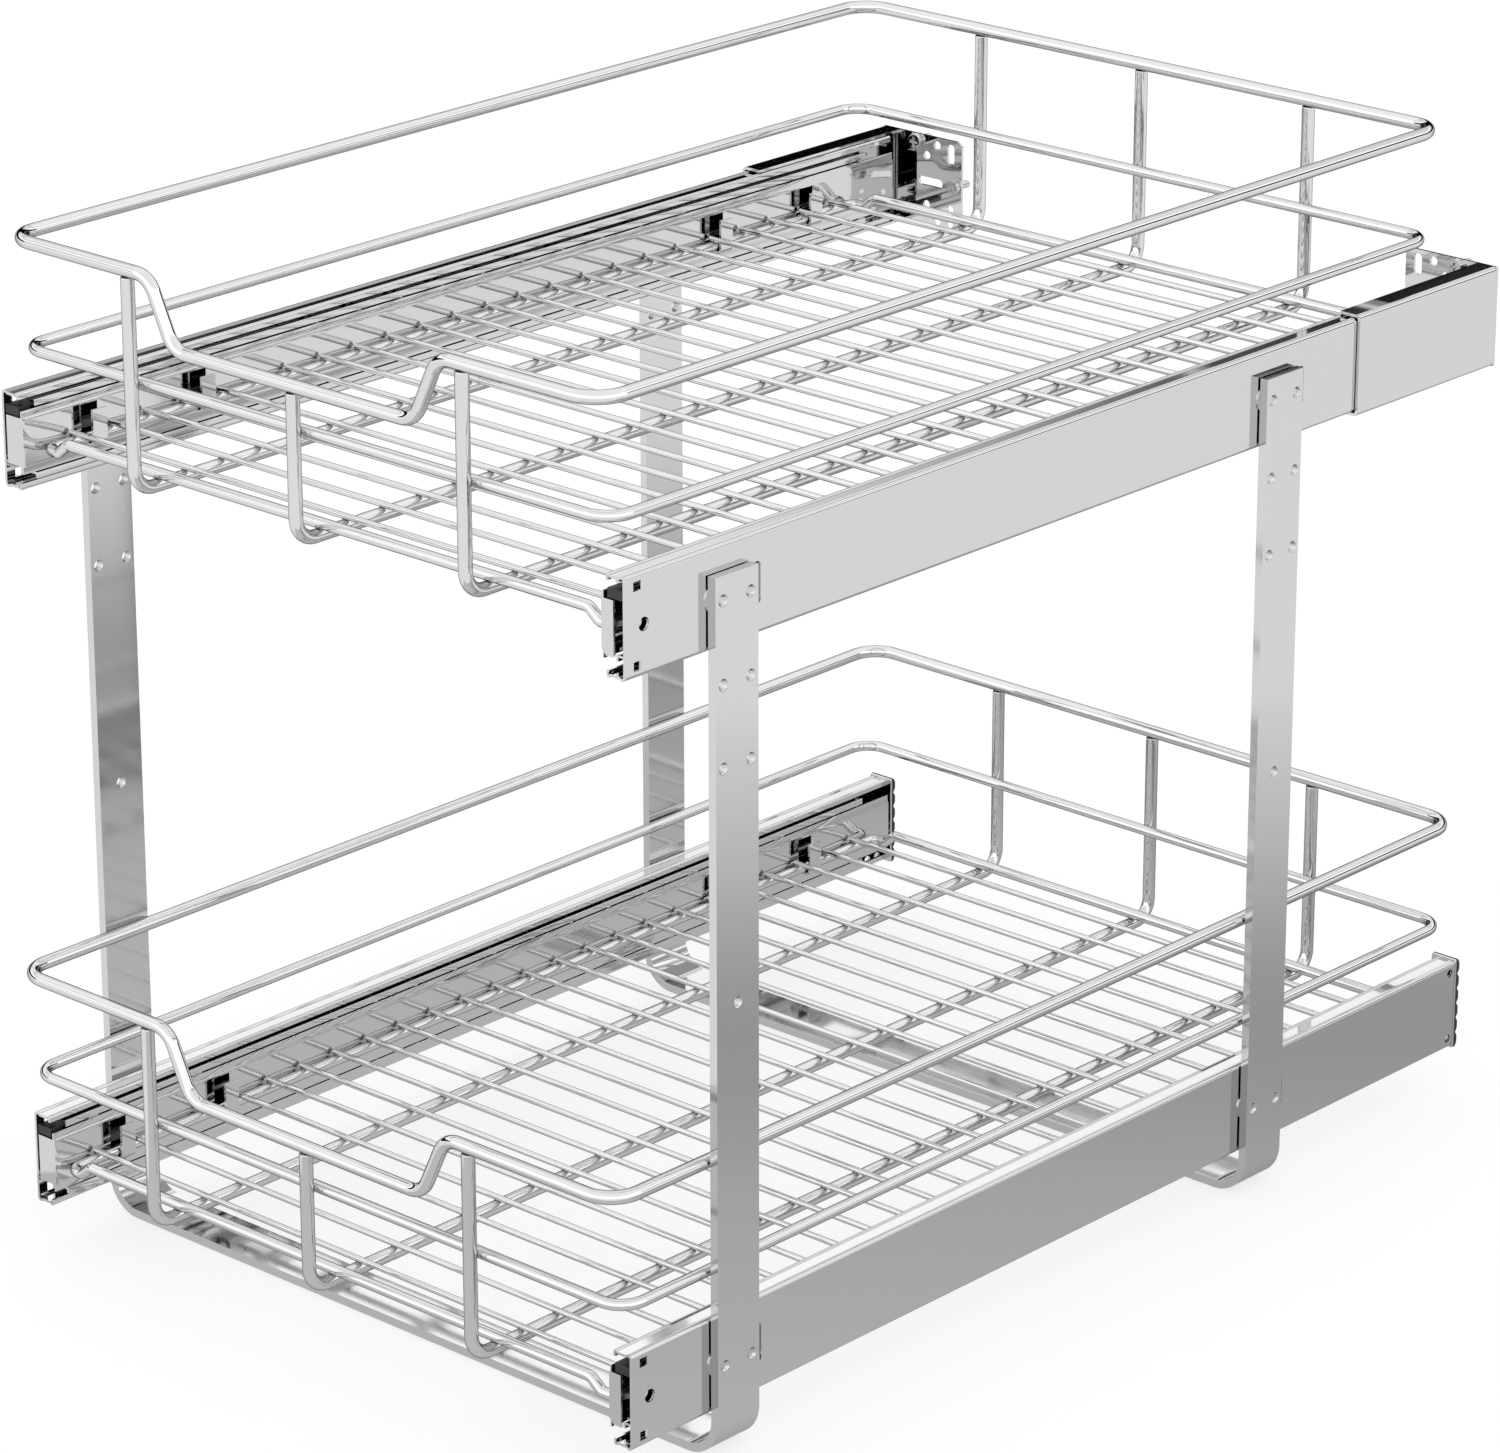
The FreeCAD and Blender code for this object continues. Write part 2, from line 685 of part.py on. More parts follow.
def join(name, parts, height):
    """Rods butt-welded end to end to one piece."""
    doc.recompute()
    fused = doc.addObject("Part::MultiFuse", name)
    fused.Shapes = parts
    fused.Refine = True
    keep(fused, name, height)


cross_height = dim.frame_wire / 2 + dim.cross_wire / 2 - dim.weld_sink
end_rod_height = dim.frame_wire / 2 + dim.side_wire / 2 - dim.weld_sink
side_rod_height = cross_height - dim.cross_wire / 2 - dim.side_wire / 2 + dim.weld_sink


def make_rim(name, height, half, front, rear):
    """The top rod of a basket, with a lower stretch at the front."""
    top = dim.basket_depth
    shoulder = dim.front_opening_top / 2
    foot = dim.front_opening_bottom / 2
    meet = shoulder + dim.front_opening_lead
    bend = dim.rim_bend
    back = bent_rod(name + "_loop", "XY_Plane",
                    [(-meet, front), (-half, front, bend), (-half, rear, bend), (half, rear, bend),
                     (half, front, bend), (meet, front)], dim.frame_wire, top)
    low = top - dim.front_drop
    dip = dim.front_opening_bend
    drop = bent_rod(name + "_drop", "XZ_Plane",
                    [(-meet, top), (-shoulder, top, dip), (-foot, low, dip), (foot, low, dip),
                     (shoulder, top, dip), (meet, top)], dim.frame_wire, front)
    join(name, [back, drop], height)


def make_grid_frame(name, height, front, rear):
    """The rod round a basket's floor. Its sides lie under the cross wires, in the slides'
    hooks, and its ends rise onto the long wires."""
    half = slide_face - dim.seat_gap - dim.side_wire / 2
    outer = half - dim.grid_dip_inset
    inner = outer - dim.grid_dip_run
    meet = outer + dim.grid_dip_lead
    low = side_rod_height
    high = end_rod_height
    rods = []
    for word, side in SIDES.items():
        rods.append(bent_rod(name + "_" + word, "XY_Plane",
                             [(side * meet, front), (side * half, front, dim.grid_bend),
                              (side * half, rear, dim.grid_bend), (side * meet, rear)],
                             dim.side_wire, low))
    for word, place in (("front", front), ("rear", rear)):
        rods.append(bent_rod(name + "_" + word, "XZ_Plane",
                             [(-meet, low), (-outer, low, dim.grid_dip_bend),
                              (-inner, high, dim.grid_dip_bend), (inner, high, dim.grid_dip_bend),
                              (outer, low, dim.grid_dip_bend), (meet, low)], dim.side_wire, place))
    join(name, rods, height)


def make_long_wire(name, height, across, front, rear, front_top, rear_top):
    """A wire that runs down the front of a basket, along its floor and up its rear."""
    body = new_body(name)
    spine = new_sketch(body, "YZ_Plane", name + "_path", across)
    draw_path(spine, [(front, front_top), (front, 0, dim.post_bend), (rear, 0, dim.post_bend),
                      (rear, rear_top)], closed=False)
    section = new_sketch(body, "XY_Plane", name + "_section", front_top)
    draw_circle(section, across, front, dim.frame_wire)
    doc.recompute()
    rod = body.newObject("PartDesign::AdditivePipe", name + "_rod")
    rod.Profile = section
    rod.Spine = spine
    keep(body, name, height)


def make_cross_wires(name, height, first, last, count):
    """The thin wires across a basket's floor, evenly spaced from the first to the last."""
    body = new_body(name)
    half = slide_face - dim.cross_wire_end
    section = new_sketch(body, "YZ_Plane", name + "_section", -half)
    draw_circle(section, first, cross_height, dim.cross_wire)
    wire = add_pad(body, section, name + "_wire", 2 * half)
    repeat(body, [wire], "Y_Axis", name + "_row", count, (last - first) / (count - 1))
    keep(body, name, height)


def make_basket(tier, height, rim_gap, overhang, setback, grid_setback, wire_setback, count):
    """One basket: rim, half-height rod, floor frame, three long wires and the cross wires."""
    half = upright_face - rim_gap - dim.frame_wire / 2
    front = -overhang
    rear = dim.rail_length - setback
    make_rim(tier + "_top_rim", height, half, front, rear)

    inset = dim.frame_wire / 2 + dim.side_wire / 2 - dim.weld_sink
    bend = dim.mid_rail_bend
    mid_rail = bent_rod(tier + "_mid_rail", "XY_Plane",
                        [(0, front + inset), (-half, front + inset, bend), (-half, rear - inset, bend),
                         (half, rear - inset, bend), (half, front + inset, bend)],
                        dim.side_wire, dim.mid_rail_rise, closed=True)
    keep(mid_rail, tier + "_mid_rail", height)

    make_grid_frame(tier + "_floor_frame", height, front + grid_setback, rear - grid_setback)
    under_rim = dim.basket_depth - dim.frame_wire / 2 + dim.weld_sink
    for word, way in (("left", -1), ("middle", 0), ("right", 1)):
        front_top = under_rim - dim.front_drop if way == 0 else under_rim
        make_long_wire("%s_%s_long_wire" % (tier, word), height, way * dim.long_wire_pitch,
                       front, rear, front_top, under_rim)
    make_cross_wires(tier + "_cross_wires", height, front + wire_setback, rear - wire_setback, count)


# Wall brackets

def make_bracket(name, side, level):
    """A sleeve that telescopes on the rear of an upper slide, with a drilled flange for the wall."""
    body = new_body(name)
    wall = dim.bracket_sheet
    outside = -(dim.running_gap + wall)
    inside = -dim.running_gap
    half = dim.sleeve_height / 2
    rear = dim.rail_length + dim.bracket_reach - wall
    front = dim.rail_length - dim.sleeve_overlap
    tip = outside + dim.sleeve_flange
    profile = new_sketch(body, "XZ_Plane", name + "_profile", front)
    upper = [(from_web(side, outside), half, dim.sheet_bend + wall), (from_web(side, tip), half),
             (from_web(side, tip), half - wall), (from_web(side, inside), half - wall, dim.sheet_bend)]
    lower = [(corner[0], -corner[1]) + corner[2:] for corner in reversed(upper)]
    draw_path(profile, upper + lower)
    add_pad(body, profile, name + "_sleeve", rear - front + wall, backwards=True)

    flange = new_sketch(body, "XZ_Plane", name + "_flange", rear)
    end = from_web(side, outside + dim.bracket_flange)
    draw_path(flange, [(from_web(side, outside), -half, dim.sheet_bend), (end, -half, dim.bracket_corner),
                       (end, half, dim.bracket_corner), (from_web(side, outside), half, dim.sheet_bend)])
    add_pad(body, flange, name + "_wall_flange", wall, backwards=True)

    holes = new_sketch(body, "XZ_Plane", name + "_holes", rear)
    for across, up in screw_places + round_places:
        draw_circle(holes, from_web(side, outside + across), up, dim.bracket_hole)
    half_slot = dim.bracket_hole / 2
    for across, up, width, rise in slot_places:
        draw_box(holes, from_web(side, outside + across + width / 2),
                 from_web(side, outside + across - width / 2), up - rise / 2, up + rise / 2,
                 half_slot - dim.slot_flat / 2)
    cut_through(body, holes, name + "_wall_holes")
    keep(body, name, level)


def make_wall_screws(name, side, level):
    """Two pan-headed screws, set in a bracket's flange and pointing at the wall."""
    body = new_body(name)
    seat = dim.rail_length + dim.bracket_reach - dim.bracket_sheet
    for index, (across, up) in enumerate(screw_places):
        label = "%s_%d" % (name, index)
        centre = from_web(side, across - dim.running_gap - dim.bracket_sheet)
        head = new_sketch(body, "XZ_Plane", label + "_head", seat)
        draw_circle(head, centre, up, dim.bracket_screw_head)
        add_pad(body, head, label + "_pan", dim.bracket_head_height)
        thread = new_sketch(body, "XZ_Plane", label + "_thread", seat)
        draw_circle(thread, centre, up, dim.bracket_screw_thread)
        add_pad(body, thread, label + "_pin", dim.bracket_sheet + dim.bracket_screw_length, backwards=True)
        recess = new_sketch(body, "XZ_Plane", label + "_recess", seat - dim.bracket_head_height)
        arm = dim.recess_length / 2
        rib = dim.recess_width / 2
        draw_path(recess, [(centre - rib, up - arm), (centre + rib, up - arm), (centre + rib, up - rib),
                           (centre + arm, up - rib), (centre + arm, up + rib), (centre + rib, up + rib),
                           (centre + rib, up + arm), (centre - rib, up + arm), (centre - rib, up + rib),
                           (centre - arm, up + rib), (centre - arm, up - rib), (centre - rib, up - rib)])
        cross = body.newObject("PartDesign::Pocket", label + "_cross")
        cross.Profile = recess
        bind(cross, "Length", dim.recess_depth)
    keep(body, name, level)


# Ends of the lower slides

def make_end_cap(name, side, level):
    """A thin plate across the rear end of a lower slide."""
    body = new_body(name)
    plate = new_sketch(body, "XZ_Plane", name + "_outline", dim.rail_length)
    rise = rail_edge + dim.cap_border
    draw_box(plate, from_web(side, -dim.side_gap / 2), from_web(side, dim.slide_depth + dim.cap_border),
             -rise, rise, dim.sheet_bend)
    add_pad(body, plate, name + "_plate", dim.cap_sheet, backwards=True)
    keep(body, name, level)


def make_bumper(name, side, level):
    """A ribbed rubber strip on an end cap, which meets the cabinet's rear wall."""
    body = new_body(name)
    front = dim.rail_length + dim.cap_sheet
    outer = from_web(side, -dim.side_gap / 2)
    width = dim.side_gap / 2 + dim.slide_depth + dim.cap_border
    rise = rail_edge + dim.cap_border
    base = new_sketch(body, "YZ_Plane", name + "_base", outer)
    draw_box(base, front, front + dim.bumper_base, -rise, rise)
    add_pad(body, base, name + "_strip", width, backwards=side > 0)
    pitch = 2 * rise / dim.bumper_waves
    flank = pitch / 4
    foot = front + dim.bumper_base
    crest = foot + dim.bumper_wave
    rounding = dim.bumper_rounding
    wave = new_sketch(body, "YZ_Plane", name + "_wave", outer)
    draw_path(wave, [(front, -rise), (foot, -rise), (crest, flank - rise, rounding),
                     (crest, pitch - flank - rise, rounding), (foot, pitch - rise), (front, pitch - rise)])
    rib = add_pad(body, wave, name + "_rib", width, backwards=side > 0)
    repeat(body, [rib], "Z_Axis", name + "_ribs", dim.bumper_waves, pitch)
    keep(body, name, level)


# Places of the openings in the bracket flanges, inwards from the sleeve's outer face and up from
# the slide's middle. A slot's place is followed by its width and its height.
screw_places = [(21.85, 19.5), (46.15, 0.6)]
round_places = [(34.85, 19.3), (28.35, 13.3), (28.35, -11.2), (43.35, -11.2), (35.05, -18.6), (43.05, -18.6)]
slot_places = [(43.55, 16.3, 4.4, 9.8), (30.85, 0.4, 15.0, 4.2)]

for tier, level in TIERS.items():
    for word, side in SIDES.items():
        start = tier + "_" + word
        make_outer_member(start + "_outer_member", side, level)
        make_middle_member(start + "_middle_member", side, level)
        make_stop_block(start + "_stop_block", side, level)
        make_inner_member(start + "_inner_member", side, level)
        make_release_lever(start + "_release_lever", side, level)
        make_cage(start + "_outer_cage", side, level, outer_cage)
        make_cage(start + "_inner_cage", side, level, inner_cage)
    make_balls(tier + "_outer_balls", level, outer_cage)
    make_balls(tier + "_inner_balls", level, inner_cage)
    make_rail_screws(tier + "_rail_screws", level)

make_basket("upper", upper_level - dim.floor_drop, dim.upper_rim_gap, dim.upper_front_overhang,
            dim.upper_rear_setback, dim.upper_grid_setback, dim.upper_wire_setback, dim.upper_cross_wires)
make_basket("lower", dim.lower_rail_level - dim.floor_drop, dim.lower_rim_gap, dim.lower_front_overhang,
            dim.lower_rear_setback, dim.lower_grid_setback, dim.lower_wire_setback, dim.lower_cross_wires)
for word, side in SIDES.items():
    make_bracket(word + "_wall_bracket", side, upper_level)
    make_wall_screws(word + "_wall_screws", side, upper_level)
    make_end_cap(word + "_end_cap", side, dim.lower_rail_level)
    make_bumper(word + "_end_bumper", side, dim.lower_rail_level)

doc.recompute()
for item in doc.Objects:
    if "Invalid" in item.State or "Error" in item.State:
        raise RuntimeError("%s failed: %s" % (item.Name, item.State))
for piece in pieces:
    if piece.Shape.isNull() or not piece.Shape.isValid():
        raise RuntimeError(piece.Label + " has no valid shape")
for piece in pieces:
    piece.Shape.exportStep("parts/%s.step" % piece.Label)
    box = piece.Shape.BoundBox
    print("%-30s %2d solids %10.1f mm3  x %.1f %.1f  y %.1f %.1f  z %.1f %.1f" % (
        piece.Label, len(piece.Shape.Solids), piece.Shape.Volume,
        box.XMin, box.XMax, box.YMin, box.YMax, box.ZMin, box.ZMax))
print(len(pieces), "pieces")
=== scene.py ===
import math
import bpy
import bmesh
import numpy as np
from mathutils import Matrix, Vector


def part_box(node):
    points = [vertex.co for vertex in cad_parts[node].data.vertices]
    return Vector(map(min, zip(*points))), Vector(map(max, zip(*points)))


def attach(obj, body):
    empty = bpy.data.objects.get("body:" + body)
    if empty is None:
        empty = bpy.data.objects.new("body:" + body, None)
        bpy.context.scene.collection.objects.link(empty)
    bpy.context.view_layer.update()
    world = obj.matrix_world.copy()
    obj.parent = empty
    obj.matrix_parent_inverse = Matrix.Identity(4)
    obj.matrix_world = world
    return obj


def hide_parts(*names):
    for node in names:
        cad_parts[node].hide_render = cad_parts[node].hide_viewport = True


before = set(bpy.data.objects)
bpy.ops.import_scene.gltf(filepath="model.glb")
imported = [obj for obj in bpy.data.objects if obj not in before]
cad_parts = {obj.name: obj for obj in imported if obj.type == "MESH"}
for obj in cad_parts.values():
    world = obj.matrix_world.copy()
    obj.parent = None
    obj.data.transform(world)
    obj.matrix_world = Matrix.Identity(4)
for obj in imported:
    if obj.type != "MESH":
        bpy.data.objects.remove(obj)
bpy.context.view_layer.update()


# The camera stands front right of the rack and looks down on it through a long lens,
# as far away and as high as the photograph was taken from.
CAMERA_PLACE = (1.74929, -1.92794, 1.1865)
CAMERA_AZIMUTH = 0.7402
CAMERA_ELEVATION = 0.3582
CAMERA_ROLL = -0.0016
CAMERA_LENS = 149.81

camera_data = bpy.data.cameras.new("camera")
camera_data.lens = CAMERA_LENS
camera_data.sensor_width = 36.0
camera_data.clip_end = 50.0
camera = bpy.data.objects.new("camera", camera_data)
bpy.context.collection.objects.link(camera)
back = Vector((math.sin(CAMERA_AZIMUTH) * math.cos(CAMERA_ELEVATION),
               -math.cos(CAMERA_AZIMUTH) * math.cos(CAMERA_ELEVATION), math.sin(CAMERA_ELEVATION)))
level_right = Vector((math.cos(CAMERA_AZIMUTH), math.sin(CAMERA_AZIMUTH), 0.0))
level_up = back.cross(level_right)
right = level_right * math.cos(CAMERA_ROLL) + level_up * math.sin(CAMERA_ROLL)
up = level_up * math.cos(CAMERA_ROLL) - level_right * math.sin(CAMERA_ROLL)
turn_to_view = Matrix((right, up, back)).transposed().to_4x4()
camera.matrix_world = Matrix.Translation(CAMERA_PLACE) @ turn_to_view
bpy.context.scene.camera = camera
bpy.context.scene.view_settings.view_transform = "Standard"


# The studio's sky is bright down to the horizon on the camera's side. Behind the rack it
# has a dark band low down, which draws the dark line along the top of each wire.
SKY_STRENGTH = 1.6
SKY_IN_FRONT = ((0.0, 1.0), (0.50, 1.0), (0.68, 0.72), (1.0, 0.72))
SKY_BEHIND = ((0.0, 0.80), (0.085, 0.80), (0.10, 0.0), (0.295, 0.0), (0.325, 0.92), (0.45, 1.0),
              (0.52, 0.62), (0.60, 0.62), (0.68, 0.80), (1.0, 0.72))
SKY_BLEND = 0.15

world = bpy.data.worlds.new("studio_sky")
bpy.context.scene.world = world
world.use_nodes = True
sky = world.node_tree
direction = sky.nodes.new("ShaderNodeTexCoord")
split = sky.nodes.new("ShaderNodeSeparateXYZ")
sky.links.new(direction.outputs["Generated"], split.inputs["Vector"])


def grey_ramp(tree, greys, reading):
    """The colour of a ramp through greys (place, grey), where the reading gives the place.

    Between two places the grey changes evenly. The sky's reading is the height of the
    direction, from 0 at the horizon to 1 overhead.
    """
    ramp = tree.nodes.new("ShaderNodeValToRGB")
    while len(ramp.color_ramp.elements) < len(greys):
        ramp.color_ramp.elements.new(0.5)
    for element, (place, grey) in zip(ramp.color_ramp.elements, greys):
        element.position = place
        element.color = (grey, grey, grey, 1.0)
    tree.links.new(reading, ramp.inputs["Fac"])
    return ramp.outputs["Color"]


towards_camera = sky.nodes.new("ShaderNodeVectorMath")
towards_camera.operation = "DOT_PRODUCT"
towards_camera.inputs[1].default_value = (math.sin(CAMERA_AZIMUTH), -math.cos(CAMERA_AZIMUTH), 0.0)
sky.links.new(direction.outputs["Generated"], towards_camera.inputs[0])
share_in_front = sky.nodes.new("ShaderNodeMapRange")
share_in_front.interpolation_type = "SMOOTHSTEP"
share_in_front.inputs["From Min"].default_value = -SKY_BLEND
share_in_front.inputs["From Max"].default_value = SKY_BLEND
sky.links.new(towards_camera.outputs["Value"], share_in_front.inputs["Value"])
both_sides = sky.nodes.new("ShaderNodeMix")
both_sides.data_type = "RGBA"
sky.links.new(share_in_front.outputs["Result"], both_sides.inputs["Factor"])
sky.links.new(grey_ramp(sky, SKY_BEHIND, split.outputs["Z"]), both_sides.inputs["A"])
sky.links.new(grey_ramp(sky, SKY_IN_FRONT, split.outputs["Z"]), both_sides.inputs["B"])
sky.links.new(both_sides.outputs["Result"], sky.nodes["Background"].inputs["Color"])
sky.nodes["Background"].inputs["Strength"].default_value = SKY_STRENGTH


# The studio's floor is white and takes the rack's shadow. The camera, and what the metal
# mirrors, see it mostly as plain white, with a part of that shadow.
FLOOR_HALF_WIDTH = 12.0
FLOOR_LEVEL = -0.0004
FLOOR_GREY = 0.93
FLOOR_WHITE_SHARE = 0.7

floor_mesh = bpy.data.meshes.new("studio_floor")
floor_mesh.from_pydata([(x * FLOOR_HALF_WIDTH, y * FLOOR_HALF_WIDTH, FLOOR_LEVEL)
                        for x, y in ((-1, -1), (1, -1), (1, 1), (-1, 1))], [], [(0, 1, 2, 3)])
floor = bpy.data.objects.new("studio_floor", floor_mesh)
bpy.context.collection.objects.link(floor)
floor_paint = bpy.data.materials.new("studio_floor")
floor_paint.use_nodes = True
floor_tree = floor_paint.node_tree
floor_shader = floor_tree.nodes["Principled BSDF"]
floor_shader.inputs["Base Color"].default_value = (FLOOR_GREY, FLOOR_GREY, FLOOR_GREY, 1.0)
floor_shader.inputs["Roughness"].default_value = 1.0
floor_shader.inputs["Specular IOR Level"].default_value = 0.0
ray = floor_tree.nodes.new("ShaderNodeLightPath")
seen = ray.outputs["Is Camera Ray"]
for kind in ("Is Glossy Ray", "Is Transmission Ray"):
    either = floor_tree.nodes.new("ShaderNodeMath")
    either.operation = "MAXIMUM"
    floor_tree.links.new(seen, either.inputs[0])
    floor_tree.links.new(ray.outputs[kind], either.inputs[1])
    seen = either.outputs["Value"]
share_white = floor_tree.nodes.new("ShaderNodeMath")
share_white.operation = "MULTIPLY"
share_white.inputs[1].default_value = FLOOR_WHITE_SHARE
floor_tree.links.new(seen, share_white.inputs[0])
plain_white = floor_tree.nodes.new("ShaderNodeEmission")
plain_white.inputs["Strength"].default_value = 1.0
floor_mix = floor_tree.nodes.new("ShaderNodeMixShader")
floor_tree.links.new(share_white.outputs["Value"], floor_mix.inputs["Fac"])
floor_tree.links.new(floor_shader.outputs["BSDF"], floor_mix.inputs[1])
floor_tree.links.new(plain_white.outputs["Emission"], floor_mix.inputs[2])
floor_tree.links.new(floor_mix.outputs["Shader"], floor_tree.nodes["Material Output"].inputs["Surface"])
floor_mesh.materials.append(floor_paint)


# A grey sheet lies on the studio's floor, under the rack and to its right, and glows. Only
# reflections see it: it is painted shade, standing in for the floor's shade near the rack,
# and gives the upright faces of the metal their deeper tones near the floor. It clears
# towards its far side.
FLAG_SHADE_GREYS = ((0.0, 0.71), (0.34, 0.67), (0.43, 0.615), (0.50, 0.575), (0.56, 0.51), (0.61, 0.47),
              (0.66, 0.465), (0.70, 0.50), (0.756, 0.59), (0.82, 0.715), (0.914, 0.87), (1.0, 1.0))
FLAG_NEAR = -0.40
FLAG_FAR = 0.86
FLAG_HALF_DEPTH = 0.62
FLAG_LEVEL = -0.0002

flag_along = np.array((math.cos(CAMERA_AZIMUTH), math.sin(CAMERA_AZIMUTH), 0.0))
flag_across = np.array((-math.sin(CAMERA_AZIMUTH), math.cos(CAMERA_AZIMUTH), 0.0))
flag_corners = [along * flag_along + across * FLAG_HALF_DEPTH * flag_across + (0.0, 0.0, FLAG_LEVEL)
                for along, across in ((FLAG_NEAR, -1), (FLAG_FAR, -1), (FLAG_FAR, 1), (FLAG_NEAR, 1))]
flag_mesh = bpy.data.meshes.new("painted_shade_flag")
flag_mesh.from_pydata([corner.tolist() for corner in flag_corners], [], [(0, 1, 2, 3)])
flag = bpy.data.objects.new("painted_shade_flag", flag_mesh)
bpy.context.collection.objects.link(flag)
flag.visible_camera = False
flag.visible_diffuse = False
flag.visible_shadow = False
flag_paint = bpy.data.materials.new("painted_shade_flag")
flag_paint.use_nodes = True
flag_tree = flag_paint.node_tree
flag_place = flag_tree.nodes.new("ShaderNodeTexCoord")
flag_run = flag_tree.nodes.new("ShaderNodeVectorMath")
flag_run.operation = "DOT_PRODUCT"
flag_run.inputs[1].default_value = flag_along.tolist()
flag_tree.links.new(flag_place.outputs["Object"], flag_run.inputs[0])
flag_share = flag_tree.nodes.new("ShaderNodeMapRange")
flag_share.inputs["From Min"].default_value = FLAG_NEAR
flag_share.inputs["From Max"].default_value = FLAG_FAR
flag_tree.links.new(flag_run.outputs["Value"], flag_share.inputs["Value"])
# The flag's glow is painted shade, a grey that only the metal mirrors.
flag_shade_glow = flag_tree.nodes.new("ShaderNodeEmission")
flag_tree.links.new(grey_ramp(flag_tree, FLAG_SHADE_GREYS, flag_share.outputs["Result"]),
                    flag_shade_glow.inputs["Color"])
flag_tree.links.new(flag_shade_glow.outputs["Emission"], flag_tree.nodes["Material Output"].inputs["Surface"])
flag_mesh.materials.append(flag_paint)


# The two straps are flat steel bar, drilled and tapped, bent to a U and plated bright. Each
# is one piece. They stand on the cabinet's floor, are screwed to it, and carry the slides.
ROUGHNESS_SPREAD = 0.4
GRAIN_DETAIL = 3.0
GRAIN_DEPTH = 0.0002
MERGE_DISTANCE = 2e-6
FLAT_ANGLE = 0.6
SHARP_ANGLE = 32.0
EDGE_SEGMENTS = 2
FLAT_FACE_WEIGHT = 90
STRAP_EDGE = 0.00045


def plated(name, colour, roughness, grains_per_metre, edge_tint=1.0, relief=0.0):
    """Bright plating: a mirror whose roughness wanders by a share of itself either way.

    The wander is noise over the piece's own coordinates. Its grains to a metre are given
    for X, Y and Z, and they are drawn out along the axis that has the fewest. The edge
    tint is the mirror's brightness where it is seen at a grazing angle; below 1 it is
    painted shade, which darkens the piece towards its outline. The relief is the strength
    of a bump in step with the wander.
    """
    material = bpy.data.materials.new(name)
    material.use_nodes = True
    tree = material.node_tree
    shader = tree.nodes["Principled BSDF"]
    shader.inputs["Base Color"].default_value = (*colour, 1.0)
    shader.inputs["Metallic"].default_value = 1.0
    shader.inputs["Specular Tint"].default_value = (edge_tint, edge_tint, edge_tint, 1.0)
    place = tree.nodes.new("ShaderNodeTexCoord")
    stretch = tree.nodes.new("ShaderNodeMapping")
    stretch.inputs["Scale"].default_value = grains_per_metre
    tree.links.new(place.outputs["Object"], stretch.inputs["Vector"])
    noise = tree.nodes.new("ShaderNodeTexNoise")
    noise.inputs["Scale"].default_value = 1.0
    noise.inputs["Detail"].default_value = GRAIN_DETAIL
    tree.links.new(stretch.outputs["Vector"], noise.inputs["Vector"])
    spread = tree.nodes.new("ShaderNodeMapRange")
    spread.inputs["To Min"].default_value = roughness * (1.0 - ROUGHNESS_SPREAD)
    spread.inputs["To Max"].default_value = roughness * (1.0 + ROUGHNESS_SPREAD)
    tree.links.new(noise.outputs["Fac"], spread.inputs["Value"])
    tree.links.new(spread.outputs["Result"], shader.inputs["Roughness"])
    if relief > 0.0:
        bump = tree.nodes.new("ShaderNodeBump")
        bump.inputs["Strength"].default_value = relief
        bump.inputs["Distance"].default_value = GRAIN_DEPTH
        tree.links.new(noise.outputs["Fac"], bump.inputs["Height"])
        tree.links.new(bump.outputs["Normal"], shader.inputs["Normal"])
    return material


def break_edges(node, body, material, width):
    """A copy of a pressed or bent piece with its sharp edges rounded to a width.

    The copy's triangles are merged to flat faces, every edge that turns by more than
    the sharp angle is beveled, and the normals follow the larger faces.
    """
    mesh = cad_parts[node].data.copy()
    mesh.name = node
    shape = bmesh.new()
    shape.from_mesh(mesh)
    bmesh.ops.remove_doubles(shape, verts=shape.verts, dist=MERGE_DISTANCE)
    bmesh.ops.dissolve_limit(shape, angle_limit=math.radians(FLAT_ANGLE),
                             verts=shape.verts, edges=shape.edges)
    for face in shape.faces:
        face.smooth = True
    shape.to_mesh(mesh)
    shape.free()
    mesh.materials.clear()
    mesh.materials.append(material)
    piece = bpy.data.objects.new("finished_" + node, mesh)
    bpy.context.collection.objects.link(piece)
    bevel = piece.modifiers.new("broken_edges", "BEVEL")
    bevel.width = width
    bevel.segments = EDGE_SEGMENTS
    bevel.limit_method = "ANGLE"
    bevel.angle_limit = math.radians(SHARP_ANGLE)
    bevel.use_clamp_overlap = True
    weights = piece.modifiers.new("flat_faces", "WEIGHTED_NORMAL")
    weights.weight = FLAT_FACE_WEIGHT
    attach(piece, body)
    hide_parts(node)
    return piece


strap_plating = plated("strap_plating", colour=(0.63, 0.63, 0.635), roughness=0.07,
                       grains_per_metre=(60.0, 60.0, 12.0), edge_tint=0.7)
for node in ("front_u_strap", "rear_u_strap"):
    break_edges(node, "frame", strap_plating, STRAP_EDGE)


# The slides are rolled from zinc-plated strip. The outer members are screwed to the
# straps, and the intermediate and inner ones run out of them on balls.
SLIDE_EDGE = 0.00022

slide_plating = plated("slide_plating", colour=(0.63, 0.63, 0.635), roughness=0.06,
                       grains_per_metre=(50.0, 8.0, 50.0), edge_tint=0.7, relief=0.005)
for tier in ("upper", "lower"):
    for side in ("left", "right"):
        for member, body in (("outer", "frame"), ("middle", tier + "_middle_members"),
                             ("inner", tier + "_drawer")):
            node = "%s_%s_%s_member" % (tier, side, member)
            break_edges(node, body, slide_plating, SLIDE_EDGE)


